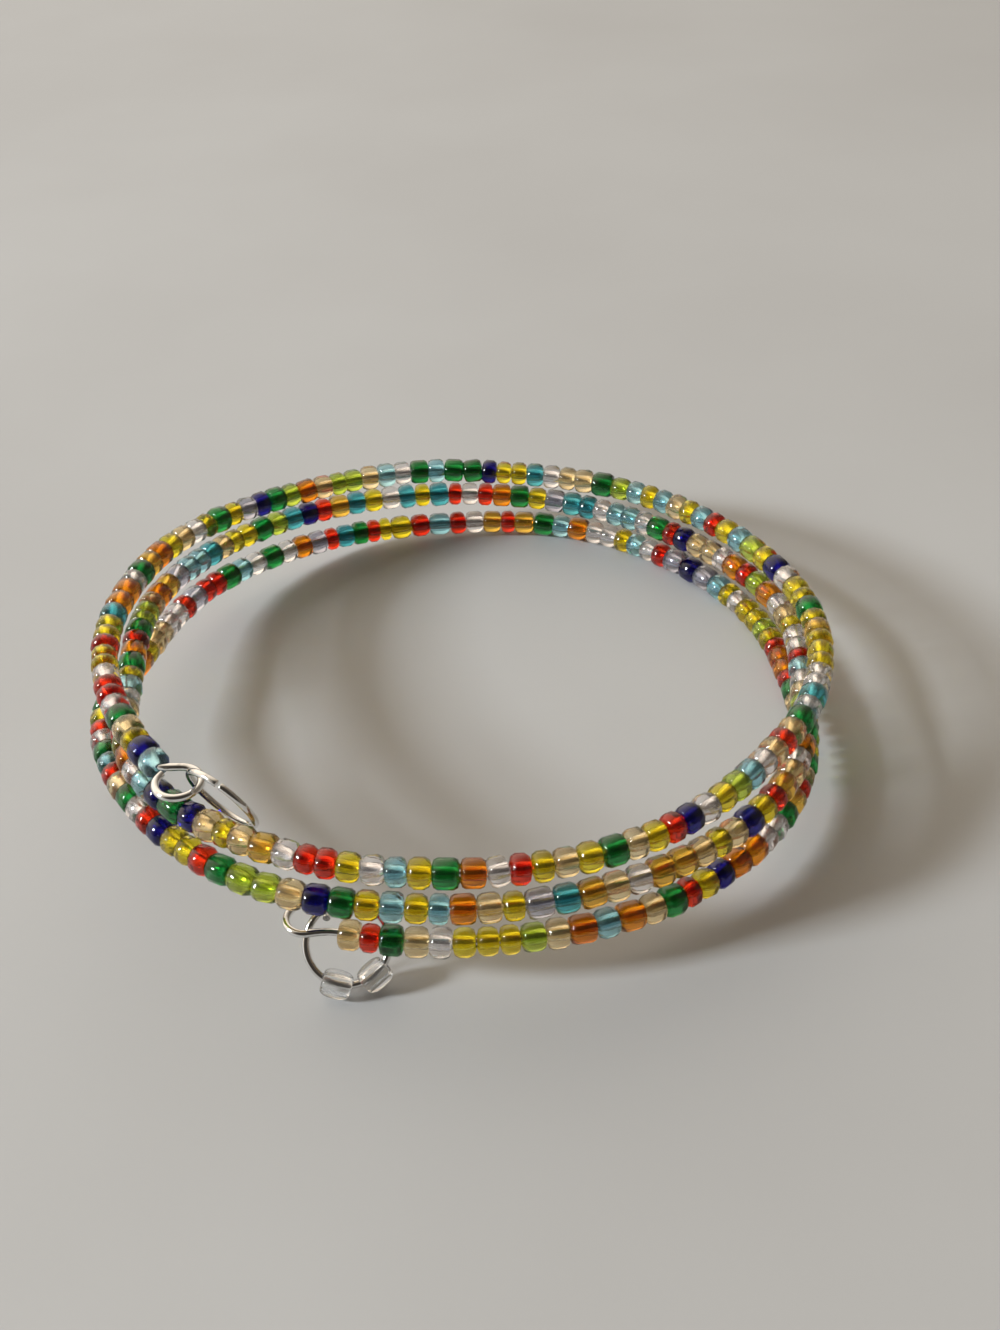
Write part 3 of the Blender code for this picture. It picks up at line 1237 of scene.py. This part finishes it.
@dataclass
class JumpRing:
    """An open ring of wire that hangs in an eye."""

    name: str
    node: str
    turn_deg: float
    lean_deg: float
    slit_deg: float
    radius: float = 3.05 * MM
    wire: float = 0.56 * MM
    around: int = 64
    sides: int = 12
    end_round: float = 0.056 * MM
    end_steps: int = 2
    smooth_deg: float = 50.0

    @property
    def centre(self) -> Vector:
        """Return the ring's centre, the middle of its solid's box."""
        low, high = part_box(self.node)
        return (low + high) / 2

    @property
    def axes(self) -> Matrix:
        """Return the ring's own axes: its level diameter, its other diameter, its normal.

        Returns:
            The axes, as columns.
        """
        turn, lean = math.radians(self.turn_deg), math.radians(self.lean_deg)
        level = Vector((math.cos(turn), math.sin(turn), 0.0))
        across = Vector((-math.sin(turn), math.cos(turn), 0.0))
        up = across * math.cos(lean) + Vector((0.0, 0.0, math.sin(lean)))
        return Matrix((level, up, level.cross(up))).transposed()

    def spoke(self, angle: float) -> Vector:
        """Return the direction from the centre to the ring at an angle."""
        turned = math.radians(angle)
        return self.axes @ Vector((math.cos(turned), math.sin(turned), 0.0))

    def build(self) -> list[bpy.types.Object]:
        """Build the ring, cut at its slit.

        Returns:
            The ring alone.
        """
        Bench.clear()
        bpy.ops.mesh.primitive_torus_add(
            major_segments=self.around,
            minor_segments=self.sides,
            major_radius=self.radius,
            minor_radius=self.wire / 2,
            generate_uvs=False,
        )
        ring = bpy.context.object
        ring.name = ring.data.name = self.name
        half = 0.5 / self.around
        Bench.edit()
        Bench.pick_faces(lambda face: 0.0 < turn_of(face.calc_center_median()) < 2 * half)
        bpy.ops.mesh.delete(type="FACE")
        for end in (0.0, 2 * half):
            Bench.pick_edges(
                lambda edge: edge.is_boundary and abs(turn_of(edge.verts[0].co) - end) < half
            )
            bpy.ops.mesh.edge_face_add()
            Bench.bevel(self.end_round, self.end_steps)
        Bench.close(self.smooth_deg)
        self.wrap_round(ring)
        spin = Matrix.Rotation(math.radians(self.slit_deg) - half * math.tau, 3, "Z")
        ring.data.transform(Matrix.Translation(self.centre) @ (self.axes @ spin).to_4x4())
        ring.data.materials.append(RING_STEEL.material())
        return [Bench.carry(ring, "ring_wire", self.node)]

    def wrap_round(self, ring: bpy.types.Object) -> None:
        """Give the ring a map: u once round the wire, v in millimetres along it.

        Args:
            ring: the ring, flat at the origin.
        """

        def about(place: Vector) -> float:
            """Return how far round the wire a place lies, in turns."""
            return math.atan2(place.z, place.xy.length - self.radius) / math.tau

        def spot(vertex: int, face: bpy.types.MeshPolygon) -> Spot:
            """Return the turn round the wire and the length along it."""
            corner = ring.data.vertices[vertex].co
            length = turn_of(corner) % 1.0 * math.tau * self.radius / MM
            return beside(about(corner), about(face.center)), length

        Bench.wrap(ring, spot)


@dataclass
class DropBeads:
    """The two clear beads that hang on the lower ring, the first of them down on the table."""

    ring: JumpRing
    angles_deg: tuple[float, float] = (-112.0, -56.0)
    length: float = 2.2 * MM
    sag: float = 0.12 * MM
    tone_step: float = 0.2
    form: DrilledBead = DrilledBead(
        sides=28,
        radius=1.09 * MM,
        bore=0.55 * MM,
        half=0.5 * MM,
        rim=0.42 * MM,
        rim_steps=5,
        bore_rim=0.03 * MM,
        drawn_out=2.2,
    )

    def build(self) -> list[bpy.types.Object]:
        """Build the two beads.

        Returns:
            The beads.
        """
        glass = CLEAR_GLASS.material()
        radius = self.ring.radius
        bend = radius - math.sqrt(radius**2 - (self.length / 2) ** 2)
        pieces = []
        for number, angle in enumerate(self.angles_deg, start=1):
            bead = self.form.build(f"clear_bead_{number}")
            centre = self.ring.centre + self.ring.spoke(angle) * (radius - bend / 2 + self.sag)
            turn = self.ring.spoke(angle + 90.0).to_track_quat("Z", "Y").to_matrix().to_4x4()
            bead.data.transform(Matrix.Translation(centre) @ turn)
            for mark in bead.data.attributes["tone"].data:
                mark.value = self.tone_step * number
            bead.data.materials.append(glass)
            pieces.append(Bench.carry(bead, "clear_beads", f"drop_bead_{number}"))
        return pieces


@dataclass
class Studio:
    """The pale table, the soft light and the camera.

    The room's light is given as stops: the cosine to the bright way, and the colour there.
    """

    floor_size: float = 1.6
    window_at: tuple[float, float, float] = (-1.127, -0.240, 0.543)
    window_size: float = 0.21
    window_watts: float = 18.0
    window_colour: Colour = (0.90, 0.95, 1.0)
    bright_way: tuple[float, float, float] = (-0.62, 0.70, 0.22)
    room_stops: tuple[tuple[float, Colour], ...] = (
        (0.0, (0.105, 0.088, 0.070)),
        (0.35, (0.30, 0.258, 0.208)),
        (0.95, (1.0, 0.875, 0.73)),
    )
    room_strength: float = 1.65
    dark_way: tuple[float, float, float] = (0.0, -0.80, 0.60)
    dark_reach: tuple[float, float] = (0.55, 0.82)
    dark_colour: Colour = (0.030, 0.026, 0.022)
    camera_at: tuple[float, float, float] = (0.00319, -0.10884, 0.09111)
    down_deg: float = 37.98
    roll_deg: float = -2.57
    lens_mm: float = 43.3

    def lay_table(self) -> None:
        """Lay the pale board under the bracelet."""
        Bench.clear()
        bpy.ops.mesh.primitive_plane_add(size=self.floor_size)
        floor = bpy.context.object
        floor.name = "table"
        floor.data.materials.append(BOARD.material())

    def hang_window(self) -> None:
        """Hang the soft lamp to the left, turned to the bracelet."""
        light = bpy.data.lights.new("window", "AREA")
        light.shape = "SQUARE"
        light.size = self.window_size
        light.energy = self.window_watts
        light.color = self.window_colour
        lamp = bpy.data.objects.new("window", light)
        lamp.location = self.window_at
        lamp.rotation_euler = (-Vector(self.window_at)).to_track_quat("-Z", "Y").to_euler()
        bpy.context.scene.collection.objects.link(lamp)

    def light_room(self) -> None:
        """Light the room from one side, and leave it dark where the photographer stands."""
        world = bpy.data.worlds.new("room")
        bpy.context.scene.world = world
        desk = NodeDesk(world, "Background")
        facing = desk.toward(self.bright_way)
        ramp = desk.node("ShaderNodeValToRGB", {"stops": self.room_stops}, {0: facing})
        shaded = desk.toward(self.dark_way).ranged(*self.dark_reach)
        colour = desk.blend(ramp.outputs[0], self.dark_colour, shaded)
        desk.finish(color=colour, strength=self.room_strength)

    def set_camera(self) -> None:
        """Set up the camera at the photograph's place."""
        lens = bpy.data.cameras.new("camera")
        lens.lens = self.lens_mm
        lens.sensor_width = 36.0
        lens.clip_start = 0.004
        lens.clip_end = 20.0
        camera = bpy.data.objects.new("camera", lens)
        aim = Matrix.Rotation(math.radians(90.0 - self.down_deg), 4, "X")
        roll = Matrix.Rotation(math.radians(self.roll_deg), 4, "Z")
        camera.matrix_world = Matrix.Translation(self.camera_at) @ aim @ roll
        bpy.context.scene.collection.objects.link(camera)
        bpy.context.scene.camera = camera

    def set_up(self) -> None:
        """Set up the table, the light and the camera."""
        self.lay_table()
        self.hang_window()
        self.light_room()
        self.set_camera()
        bpy.context.scene.view_settings.view_transform = "Standard"


def main() -> None:
    """Build the bracelet piece by piece."""
    logging.basicConfig(level=logging.INFO, format="%(name)s: %(message)s")
    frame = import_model()
    LOG.info("frame: %s", ", ".join(sorted(frame["nodes"])))
    Studio().set_up()

    route = CoilRoute()
    lower_eye = WireEye(
        route,
        WireEnd.LOWER,
        radius=1.5 * MM,
        along_reach=2.75 * MM,
        inward=0.45 * MM,
        rise=0.3 * MM,
    )
    upper_eye = WireEye(
        route,
        WireEnd.UPPER,
        radius=1.7 * MM,
        along_reach=3.0 * MM,
        inward=0.2 * MM,
        rise=0.1 * MM,
    )
    lower_ring = JumpRing(
        "lower_ring", "lower_jump_ring", turn_deg=6.7, lean_deg=51.3, slit_deg=100.0
    )
    upper_ring = JumpRing(
        "upper_ring", "upper_jump_ring", turn_deg=140.5, lean_deg=70.5, slit_deg=112.0
    )

    builders = (
        SpringWire(route, lower_eye, upper_eye),
        lower_ring,
        upper_ring,
        DropBeads(lower_ring),
        SeedBeads(route),
    )
    for builder in builders:
        for piece in builder.build():
            LOG.info("%s: %d faces", piece.name, len(piece.data.polygons))


if __name__ == "__main__":
    main()
